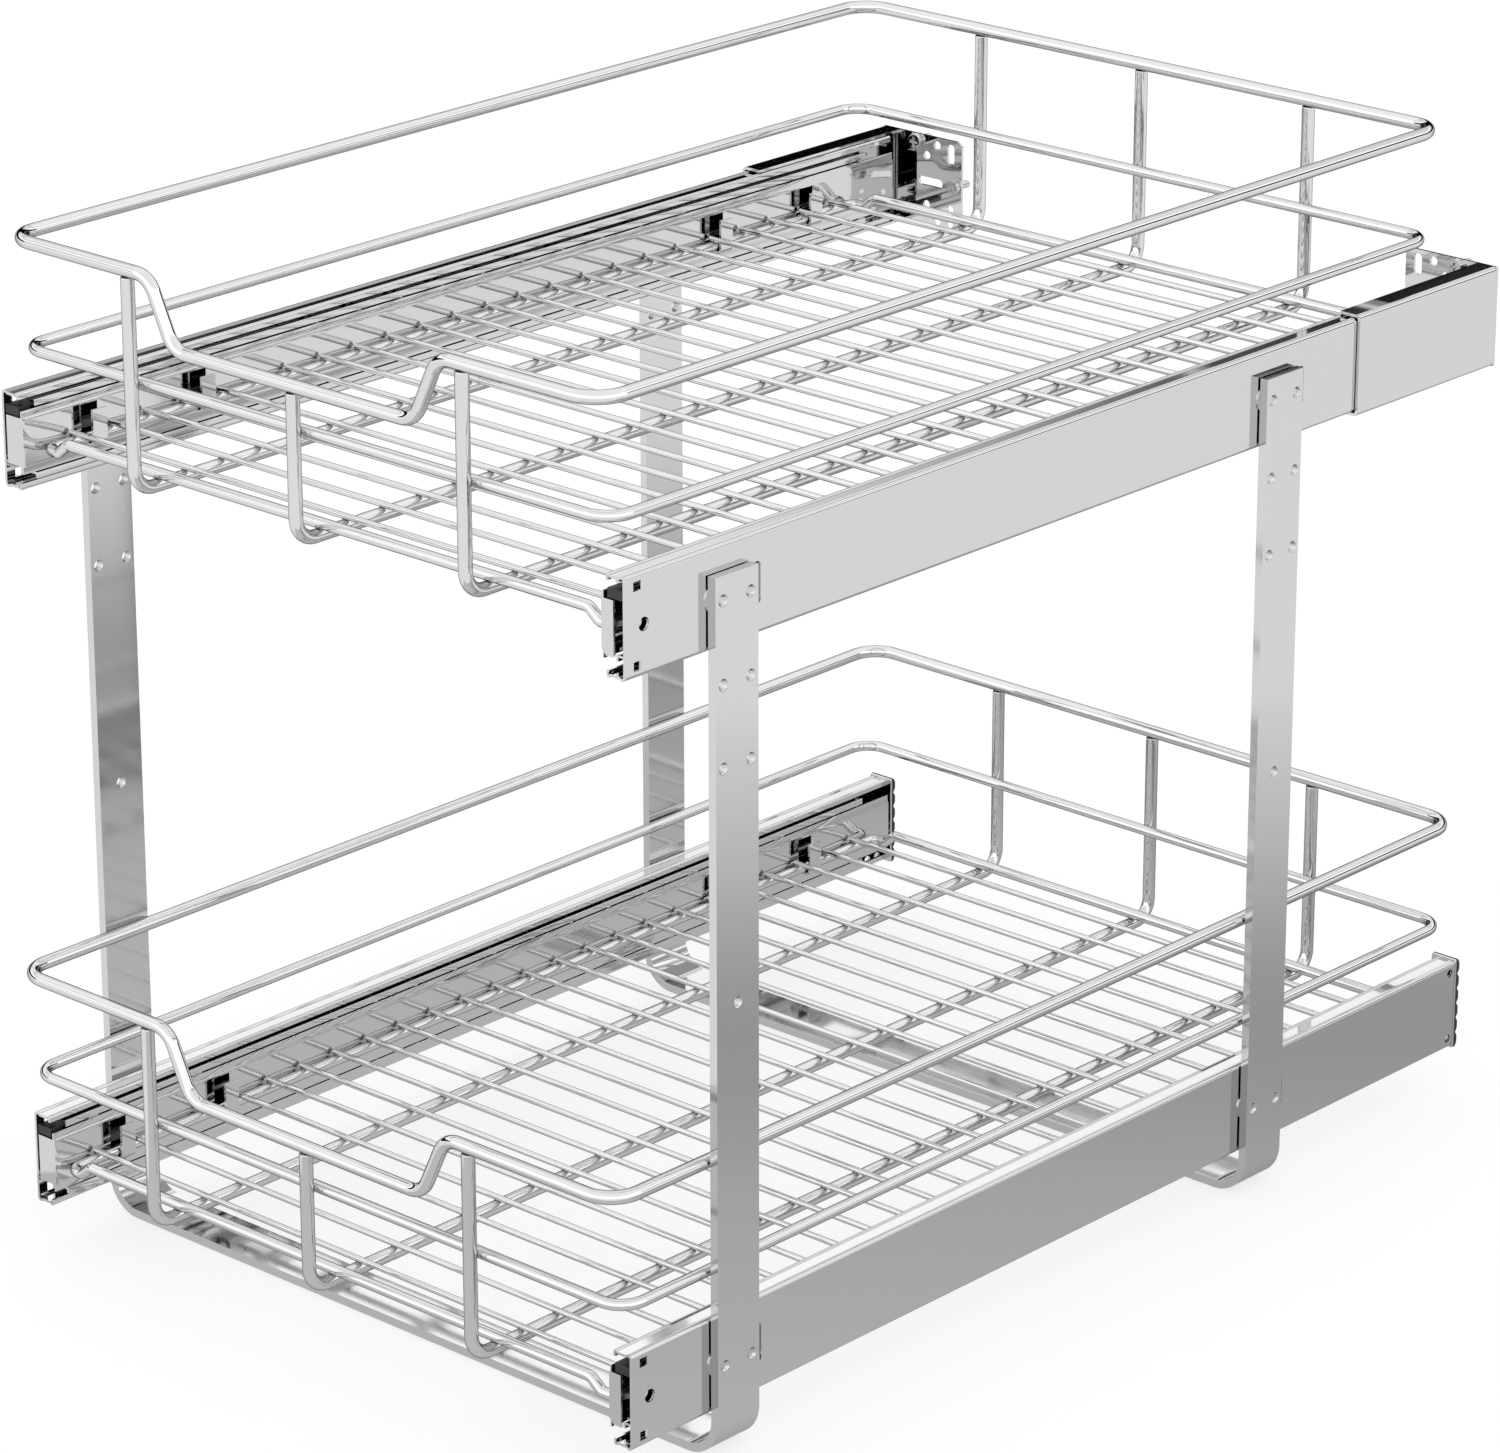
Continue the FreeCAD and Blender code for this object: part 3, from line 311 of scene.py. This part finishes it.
# Between each two members run two rows of balls of bearing steel, kept apart by a cage of
# thin pressed strip. Their solids have the real shape and only get their finish here.
cage_plating = plated("cage_plating", colour=(0.50, 0.50, 0.505), roughness=0.16,
                      grains_per_metre=(80.0, 10.0, 80.0))
ball_steel = plated("ball_steel", colour=(0.72, 0.72, 0.725), roughness=0.04,
                    grains_per_metre=(300.0, 300.0, 300.0))
for tier in ("upper", "lower"):
    for ring in ("outer", "inner"):
        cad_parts["%s_%s_balls" % (tier, ring)].data.materials[0] = ball_steel
        for side in ("left", "right"):
            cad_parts["%s_%s_%s_cage" % (tier, side, ring)].data.materials[0] = cage_plating


# The baskets are round steel wire, bent, butt and cross welded, and chromed as a whole. The
# first three sizes are the radii of the rim and long wires, of the rods that run round, and
# of the cross wires. A wire sinks into the other a little at each weld.
WIRE = 0.003
SIDE_WIRE = 0.0025
THIN_WIRE = 0.0014
SINK = 0.00015
END_ROUNDING = 0.0004
BEND_STEP = 5.0
AROUND = 32
THIN_AROUND = 16
UPWARDS = np.array((0.0, 0.0, 1.0))
SIDEWAYS = np.array((1.0, 0.0, 0.0))

# The chrome's low edge tint is painted shade: it darkens each wire where it is seen at a grazing angle,
# which draws a dark line along its edges.
chrome = plated("wire_chrome", colour=(0.68, 0.68, 0.685), roughness=0.035,
                grains_per_metre=(40.0, 40.0, 40.0), edge_tint=0.25)


def bend_path(corners, closed=False):
    """Points and directions of a wire that runs straight between corners and bends round them.

    At a corner with bend radius R the wire turns by an angle t. The arc starts R tan(t/2)
    before the corner. With d the direction there and c square to it, towards the centre,
    its points are start + R (sin a d + (1 - cos a) c) and its directions are
    cos a d + sin a c, for a from 0 to t in steps of about 5 degrees.
    """
    points = np.array([corner[:3] for corner in corners], float)
    radii = [corner[3] if len(corner) > 3 else 0.0 for corner in corners]
    places, ways = [], []
    for index, radius in enumerate(radii):
        before = points[index] - points[index - 1]
        after = points[(index + 1) % len(points)] - points[index]
        before /= np.linalg.norm(before)
        after /= np.linalg.norm(after)
        if radius == 0.0:
            places.append(points[index][None])
            ways.append((after if index == 0 else before)[None])
            continue
        turn = math.acos(float(before @ after))
        inwards = after - (after @ before) * before
        inwards /= np.linalg.norm(inwards)
        start = points[index] - before * radius * math.tan(turn / 2.0)
        angle = np.linspace(0.0, turn, int(math.degrees(turn) / BEND_STEP) + 2)[:, None]
        places.append(start + radius * (np.sin(angle) * before + (1.0 - np.cos(angle)) * inwards))
        ways.append(np.cos(angle) * before + np.sin(angle) * inwards)
    return np.concatenate(places), np.concatenate(ways), closed


def wire_surface(path, radius, reference, around, first):
    """Points, outward normals and faces of one round wire, with its ends rounded off.

    A ring is centre + R (cos v across + sin v over), where across is the part of the
    reference direction that is square to the wire, and over is square to both. At an open
    end three rings follow a quarter circle of rounding: their normals turn from square
    to the wire to along it, and a flat face closes the last one. First is the number of
    the wire's first point in its piece.
    """
    centres, ways, closed = path
    radii = np.full(len(centres), radius)
    tilt = np.zeros(len(centres))
    if not closed:
        turn = np.radians((90.0, 45.0, 0.0))
        back = END_ROUNDING * (1.0 - np.sin(turn))[:, None]
        narrow = radius - END_ROUNDING * (1.0 - np.cos(turn))
        near_end = centres[0] + back * ways[0]
        far_end = centres[-1] - back[::-1] * ways[-1]
        centres = np.concatenate([near_end, centres[1:-1], far_end])
        ways = np.concatenate([np.repeat(ways[:1], len(turn), axis=0), ways[1:-1],
                               np.repeat(ways[-1:], len(turn), axis=0)])
        radii = np.concatenate([narrow, radii[1:-1], narrow[::-1]])
        tilt = np.concatenate([-turn, tilt[1:-1], turn[::-1]])
    rows = len(centres)
    across = reference - (ways @ reference)[:, None] * ways
    across /= np.linalg.norm(across, axis=1)[:, None]
    over = np.cross(ways, across)
    angle = np.linspace(0.0, 2.0 * math.pi, around, endpoint=False)
    outwards = np.cos(angle)[:, None] * across[:, None] + np.sin(angle)[:, None] * over[:, None]
    points = centres[:, None] + radii[:, None, None] * outwards
    normals = np.cos(tilt)[:, None, None] * outwards + np.sin(tilt)[:, None, None] * ways[:, None]
    row, column = np.meshgrid(np.arange(rows if closed else rows - 1), np.arange(around), indexing="ij")
    next_row, next_column = (row + 1) % rows, (column + 1) % around
    quads = np.stack([row * around + column, row * around + next_column,
                      next_row * around + next_column, next_row * around + column], axis=-1)
    faces = (quads.reshape(-1, 4) + first).tolist()
    if not closed:
        faces.append(list(range(first + around - 1, first - 1, -1)))
        faces.append(list(range(first + (rows - 1) * around, first + rows * around)))
    return points.reshape(-1, 3), normals.reshape(-1, 3), faces


def chromed_wires(name, paths, radius, body, replaced, reference=UPWARDS, around=AROUND):
    """One wire piece of a basket, made of one or more wires of one thickness."""
    points, normals, faces, first = [], [], [], 0
    for path in paths:
        wire_points, wire_normals, wire_faces = wire_surface(path, radius, reference, around, first)
        points.append(wire_points)
        normals.append(wire_normals)
        faces += wire_faces
        first += len(wire_points)
    mesh = bpy.data.meshes.new(name)
    mesh.from_pydata(np.concatenate(points).tolist(), [], faces)
    mesh.shade_smooth()
    mesh.normals_split_custom_set_from_vertices(np.concatenate(normals).tolist())
    mesh.materials.append(chrome)
    piece = bpy.data.objects.new(name, mesh)
    bpy.context.collection.objects.link(piece)
    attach(piece, body)
    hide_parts(replaced)


# Each basket's own sizes: the level of its long wires, the half width of its rim, its front
# and rear behind the slides' front ends, how far its floor frame and its end cross wires
# stand back from them, and how many cross wires there are.
SLIDE_FRONT = -0.2827
BASKETS = {
    "upper": dict(level=0.3707, half=0.170, front=-0.0022, rear=0.5372, frame_back=0.0125,
                  wires_back=0.0276, wires=24),
    "lower": dict(level=0.0379, half=0.178, front=-0.0069, rear=0.5562, frame_back=0.01335,
                  wires_back=0.02895, wires=25),
}

# What both share: rises above the long wires, bend radii, the half widths of the opening in
# the rim at its top and foot, and the joggle at the ends of the floor frame.
RIM_RISE = 0.0955
LOW_RUN_DROP = 0.0293
MID_RISE = 0.04645
RIM_BEND = 0.014
MID_BEND = 0.012
POST_BEND = 0.010
LONG_WIRE_PITCH = 0.0965
OPENING_TOP = 0.0835
OPENING_FOOT = 0.0695
OPENING_BEND = 0.0115
CROSS_RISE = WIRE + THIN_WIRE - SINK
END_ROD_RISE = WIRE + SIDE_WIRE - SINK
SIDE_ROD_RISE = CROSS_RISE - THIN_WIRE - SIDE_WIRE + SINK
FRAME_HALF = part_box("upper_floor_frame")[1][0] - SIDE_WIRE
FRAME_BEND = 0.005
JOGGLE_INSET = 0.0075
JOGGLE_RUN = 0.0062
JOGGLE_BEND = 0.004
CROSS_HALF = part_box("upper_cross_wires")[1][0]

for tier, basket in BASKETS.items():
    body = tier + "_drawer"
    level = basket["level"]
    half = basket["half"]
    front = basket["front"] + SLIDE_FRONT
    rear = basket["rear"] + SLIDE_FRONT

    # The rim is one rod, closed by a weld, and drops between two stair bends at the front
    # so that a hand can reach in.
    rim_level = level + RIM_RISE
    low_level = rim_level - LOW_RUN_DROP
    rim = bend_path([(-OPENING_TOP, front, rim_level, OPENING_BEND), (-half, front, rim_level, RIM_BEND),
                     (-half, rear, rim_level, RIM_BEND), (half, rear, rim_level, RIM_BEND),
                     (half, front, rim_level, RIM_BEND), (OPENING_TOP, front, rim_level, OPENING_BEND),
                     (OPENING_FOOT, front, low_level, OPENING_BEND),
                     (-OPENING_FOOT, front, low_level, OPENING_BEND)], closed=True)
    chromed_wires(tier + "_rim_rod", [rim], WIRE, body, tier + "_top_rim")

    # The half-height rod runs round inside the posts.
    inset = WIRE + SIDE_WIRE - SINK
    mid_level = level + MID_RISE
    mid = bend_path([(-half, front + inset, mid_level, MID_BEND),
                     (-half, rear - inset, mid_level, MID_BEND),
                     (half, rear - inset, mid_level, MID_BEND),
                     (half, front + inset, mid_level, MID_BEND)], closed=True)
    chromed_wires(tier + "_half_height_rod", [mid], SIDE_WIRE, body, tier + "_mid_rail")

    # The floor frame lies in the slides' hooks along its sides, and its ends climb over
    # the long wires in a short joggle at each corner.
    near = front + basket["frame_back"]
    far = rear - basket["frame_back"]
    low = level + SIDE_ROD_RISE
    high = level + END_ROD_RISE
    outer = FRAME_HALF - JOGGLE_INSET
    inner = outer - JOGGLE_RUN
    ring = []
    for side, end in ((1, near), (1, far), (-1, far), (-1, near)):
        joggle = [(side * inner, end, high, JOGGLE_BEND), (side * outer, end, low, JOGGLE_BEND)]
        corner = [(side * FRAME_HALF, end, low, FRAME_BEND)]
        leaving = (side == 1) == (end == near)
        ring += joggle + corner if leaving else corner + joggle[::-1]
    chromed_wires(tier + "_frame_rod", [bend_path(ring, closed=True)], SIDE_WIRE, body,
                  tier + "_floor_frame")

    # Three long wires run down the front as posts, under the floor and up the rear.
    under_rim = rim_level - WIRE + SINK
    for word, way in (("left", -1), ("middle", 0), ("right", 1)):
        top = under_rim - LOW_RUN_DROP if way == 0 else under_rim
        across = way * LONG_WIRE_PITCH
        path = bend_path([(across, front, top), (across, front, level, POST_BEND),
                          (across, rear, level, POST_BEND), (across, rear, under_rim)])
        chromed_wires("%s_%s_post_wire" % (tier, word), [path], WIRE, body,
                      "%s_%s_long_wire" % (tier, word), reference=SIDEWAYS)

    # The thin cross wires lie on the long wires and on the frame's side rods.
    cross_level = level + CROSS_RISE
    places = np.linspace(front + basket["wires_back"], rear - basket["wires_back"], basket["wires"])
    wires = [bend_path([(-CROSS_HALF, place, cross_level), (CROSS_HALF, place, cross_level)])
             for place in places]
    chromed_wires(tier + "_thin_wires", wires, THIN_WIRE, body, tier + "_cross_wires",
                  around=THIN_AROUND)


# Mouldings of satin nylon with a fine texture: the black stops in the mouths of the slides,
# and the grey release levers on their pins behind the front plates.
DARKEST = 0.8
PALEST = 1.25
TEXTURE_DETAIL = 4.0
TEXTURE_STRENGTH = 0.15
TEXTURE_DEPTH = 0.0001
MOULDED_EDGE = 0.0003


def moulded(name, colour, roughness, grains_per_metre):
    """Moulded plastic or rubber, with a fine even bump.

    Its colour and roughness wander with one noise over the piece's own coordinates,
    between the darkest and the palest share of their own values.
    """
    material = bpy.data.materials.new(name)
    material.use_nodes = True
    tree = material.node_tree
    shader = tree.nodes["Principled BSDF"]
    place = tree.nodes.new("ShaderNodeTexCoord")
    noise = tree.nodes.new("ShaderNodeTexNoise")
    noise.inputs["Scale"].default_value = grains_per_metre
    noise.inputs["Detail"].default_value = TEXTURE_DETAIL
    tree.links.new(place.outputs["Object"], noise.inputs["Vector"])
    gloss = tree.nodes.new("ShaderNodeMapRange")
    gloss.inputs["To Min"].default_value = roughness * DARKEST
    gloss.inputs["To Max"].default_value = roughness * PALEST
    tree.links.new(noise.outputs["Fac"], gloss.inputs["Value"])
    tree.links.new(gloss.outputs["Result"], shader.inputs["Roughness"])
    shade = tree.nodes.new("ShaderNodeMix")
    shade.data_type = "RGBA"
    shade.inputs["A"].default_value = (*[channel * DARKEST for channel in colour], 1.0)
    shade.inputs["B"].default_value = (*[channel * PALEST for channel in colour], 1.0)
    tree.links.new(noise.outputs["Fac"], shade.inputs["Factor"])
    tree.links.new(shade.outputs["Result"], shader.inputs["Base Color"])
    bump = tree.nodes.new("ShaderNodeBump")
    bump.inputs["Strength"].default_value = TEXTURE_STRENGTH
    bump.inputs["Distance"].default_value = TEXTURE_DEPTH
    tree.links.new(noise.outputs["Fac"], bump.inputs["Height"])
    tree.links.new(bump.outputs["Normal"], shader.inputs["Normal"])
    return material


stop_nylon = moulded("stop_nylon", colour=(0.012, 0.012, 0.012), roughness=0.5, grains_per_metre=900.0)
lever_nylon = moulded("lever_nylon", colour=(0.08, 0.08, 0.082), roughness=0.45, grains_per_metre=900.0)
for tier in ("upper", "lower"):
    for side in ("left", "right"):
        start = "%s_%s" % (tier, side)
        stop = break_edges(start + "_stop_block", tier + "_middle_members", stop_nylon, MOULDED_EDGE)
        lever = break_edges(start + "_release_lever", start + "_lever", lever_nylon, MOULDED_EDGE)


# Eight screws to a tier hold the slides to the straps. They are turned and plated steel,
# with flat heads inside the slides and tips set back in the tapped holes of the uprights.
HEAD_RADIUS = 0.0043
HEAD_HEIGHT = 0.0007
HEAD_CHAMFER = 0.0002
SHANK_RADIUS = 0.00215
TIP_CHAMFER = 0.0007
TIP_SETBACK = 0.0011
SCREW_SEAT = 0.18055
SCREW_AROUND = 40
UPRIGHT_INSIDE = 0.18175
UPRIGHT_OUTSIDE = 0.18575
HOLE_PAIR = 0.0081
RAIL_LEVELS = {"upper": 0.3755, "lower": 0.0427}
STRAP_PLACES = [(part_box(node)[0][1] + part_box(node)[1][1]) / 2.0
                for node in ("front_u_strap", "rear_u_strap")]

screw_plating = plated("screw_plating", colour=(0.58, 0.58, 0.585), roughness=0.12,
                       grains_per_metre=(200.0, 200.0, 200.0))


def turned(places, profile, around):
    """Like parts turned about lines along X, one at each place (side, y, z).

    A profile is a list of (x, r): the surface is (side x, y + r cos v, z + r sin v). The
    first and last rings are closed by a flat face.
    """
    profile = np.array(profile)
    angle = np.linspace(0.0, 2.0 * math.pi, around, endpoint=False)
    x = np.repeat(profile[:, :1], around, axis=1)
    y = profile[:, 1:] * np.cos(angle)
    z = profile[:, 1:] * np.sin(angle)
    rows = len(profile)
    row, column = np.meshgrid(np.arange(rows - 1), np.arange(around), indexing="ij")
    ahead = (column + 1) % around
    quads = np.stack([row * around + column, row * around + ahead,
                      (row + 1) * around + ahead, (row + 1) * around + column], axis=-1).reshape(-1, 4)
    points, faces = [], []
    for index, (side, centre_y, centre_z) in enumerate(places):
        first = index * rows * around
        points.append(np.stack([side * x, y + centre_y, z + centre_z], axis=-1).reshape(-1, 3))
        faces += (quads + first).tolist()
        faces.append(list(range(first + around - 1, first - 1, -1)))
        faces.append(list(range(first + (rows - 1) * around, first + rows * around)))
    return np.concatenate(points), faces


def surface_piece(name, points, faces, material, body, sharp_angle):
    """One piece from points and faces, turned outwards, smooth but for its sharper edges."""
    mesh = bpy.data.meshes.new(name)
    mesh.from_pydata(points.tolist(), [], faces)
    shape = bmesh.new()
    shape.from_mesh(mesh)
    bmesh.ops.recalc_face_normals(shape, faces=shape.faces)
    shape.to_mesh(mesh)
    shape.free()
    mesh.shade_smooth()
    mesh.set_sharp_from_angle(angle=math.radians(sharp_angle))
    mesh.materials.append(material)
    piece = bpy.data.objects.new(name, mesh)
    bpy.context.collection.objects.link(piece)
    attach(piece, body)
    return piece


screw_profile = [(SCREW_SEAT - HEAD_HEIGHT, HEAD_RADIUS - HEAD_CHAMFER),
                 (SCREW_SEAT - HEAD_HEIGHT + HEAD_CHAMFER, HEAD_RADIUS),
                 (SCREW_SEAT, HEAD_RADIUS), (SCREW_SEAT, SHANK_RADIUS),
                 (UPRIGHT_OUTSIDE - TIP_SETBACK - TIP_CHAMFER, SHANK_RADIUS),
                 (UPRIGHT_OUTSIDE - TIP_SETBACK, SHANK_RADIUS - TIP_CHAMFER)]
for tier, level in RAIL_LEVELS.items():
    places = [(side, place + way * HOLE_PAIR, level)
              for side in (-1, 1) for place in STRAP_PLACES for way in (-1, 1)]
    points, faces = turned(places, screw_profile, SCREW_AROUND)
    screws = surface_piece(tier + "_screws", points, faces, screw_plating, "frame",
                           sharp_angle=30.0)
    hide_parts(tier + "_rail_screws")


# The threads are cut in the uprights' walls: in the holes of the screws, in the rows that
# stay free for other heights of the upper slides, and in one hole halfway up.
HOLE_RADIUS = 0.0026
THREAD_PITCH = 0.0008
THREAD_DEPTH = 0.00038
THREAD_WALL = 0.00006
THREAD_RINGS = 41
THREAD_AROUND = 36
FREE_LEVELS = (0.34025, 0.305)
SINGLE_LEVEL = 0.2022


def threads(places):
    """The inside of tapped holes through the uprights, one at each place (side, y, z).

    The radius is R - d w, where w is a triangle wave of the pitch that moves on by one
    pitch in a turn and fades out over the last half pitch at both faces. A plain wall
    behind it, just outside the hole's own, closes the ring.
    """
    along = np.linspace(0.0, UPRIGHT_OUTSIDE - UPRIGHT_INSIDE, THREAD_RINGS)[:, None]
    angle = np.linspace(0.0, 2.0 * math.pi, THREAD_AROUND, endpoint=False)[None]
    wave = 1.0 - np.abs(2.0 * ((along / THREAD_PITCH - angle / (2.0 * math.pi)) % 1.0) - 1.0)
    fade = np.clip(np.minimum(along, along[-1] - along) / (0.5 * THREAD_PITCH), 0.0, 1.0)
    inner = HOLE_RADIUS - THREAD_DEPTH * wave * fade
    radius = np.concatenate([inner, np.full((2, THREAD_AROUND), HOLE_RADIUS + THREAD_WALL)])
    distance = np.concatenate([UPRIGHT_INSIDE + along, [[UPRIGHT_OUTSIDE]], [[UPRIGHT_INSIDE]]])
    x = np.repeat(distance, THREAD_AROUND, axis=1)
    y = radius * np.cos(angle)
    z = radius * np.sin(angle)
    rows = len(distance)
    row, column = np.meshgrid(np.arange(rows), np.arange(THREAD_AROUND), indexing="ij")
    row, next_row = row * THREAD_AROUND, (row + 1) % rows * THREAD_AROUND
    ahead = (column + 1) % THREAD_AROUND
    quads = np.stack([row + column, row + ahead, next_row + ahead, next_row + column], axis=-1)
    points = [np.stack([side * x, y + centre_y, z + centre_z], axis=-1)
              for side, centre_y, centre_z in places]
    faces = [quads.reshape(-1, 4) + index * rows * THREAD_AROUND for index in range(len(places))]
    return np.concatenate(points).reshape(-1, 3), np.concatenate(faces).tolist()


for word, place in zip(("front", "rear"), STRAP_PLACES):
    levels = [*RAIL_LEVELS.values(), *FREE_LEVELS]
    holes = [(place + way * HOLE_PAIR, level) for level in levels for way in (-1, 1)]
    holes.append((place, SINGLE_LEVEL))
    points, faces = threads([(side, *hole) for side in (-1, 1) for hole in holes])
    surface_piece(word + "_strap_threads", points, faces, strap_plating, "frame",
                  sharp_angle=60.0)


# The wall brackets are sleeves of pressed and plated sheet over the rear ends of the upper
# slides. They draw out to the cabinet's rear wall, and two screws hold each flange to it.
WALL_SCREW_EDGE = 0.0003

for side in ("left", "right"):
    body = side + "_bracket"
    break_edges(side + "_wall_bracket", body, slide_plating, SLIDE_EDGE)
    break_edges(side + "_wall_screws", body, screw_plating, WALL_SCREW_EDGE)


# Each lower slide ends in a pressed plate, plated as the straps are, with a ribbed strip of
# black rubber behind it that meets the cabinet.
END_EDGE = 0.0002

bumper_rubber = moulded("bumper_rubber", colour=(0.012, 0.012, 0.012), roughness=0.65,
                        grains_per_metre=500.0)
for side in ("left", "right"):
    break_edges(side + "_end_cap", "frame", strap_plating, END_EDGE)
    break_edges(side + "_end_bumper", "frame", bumper_rubber, END_EDGE)
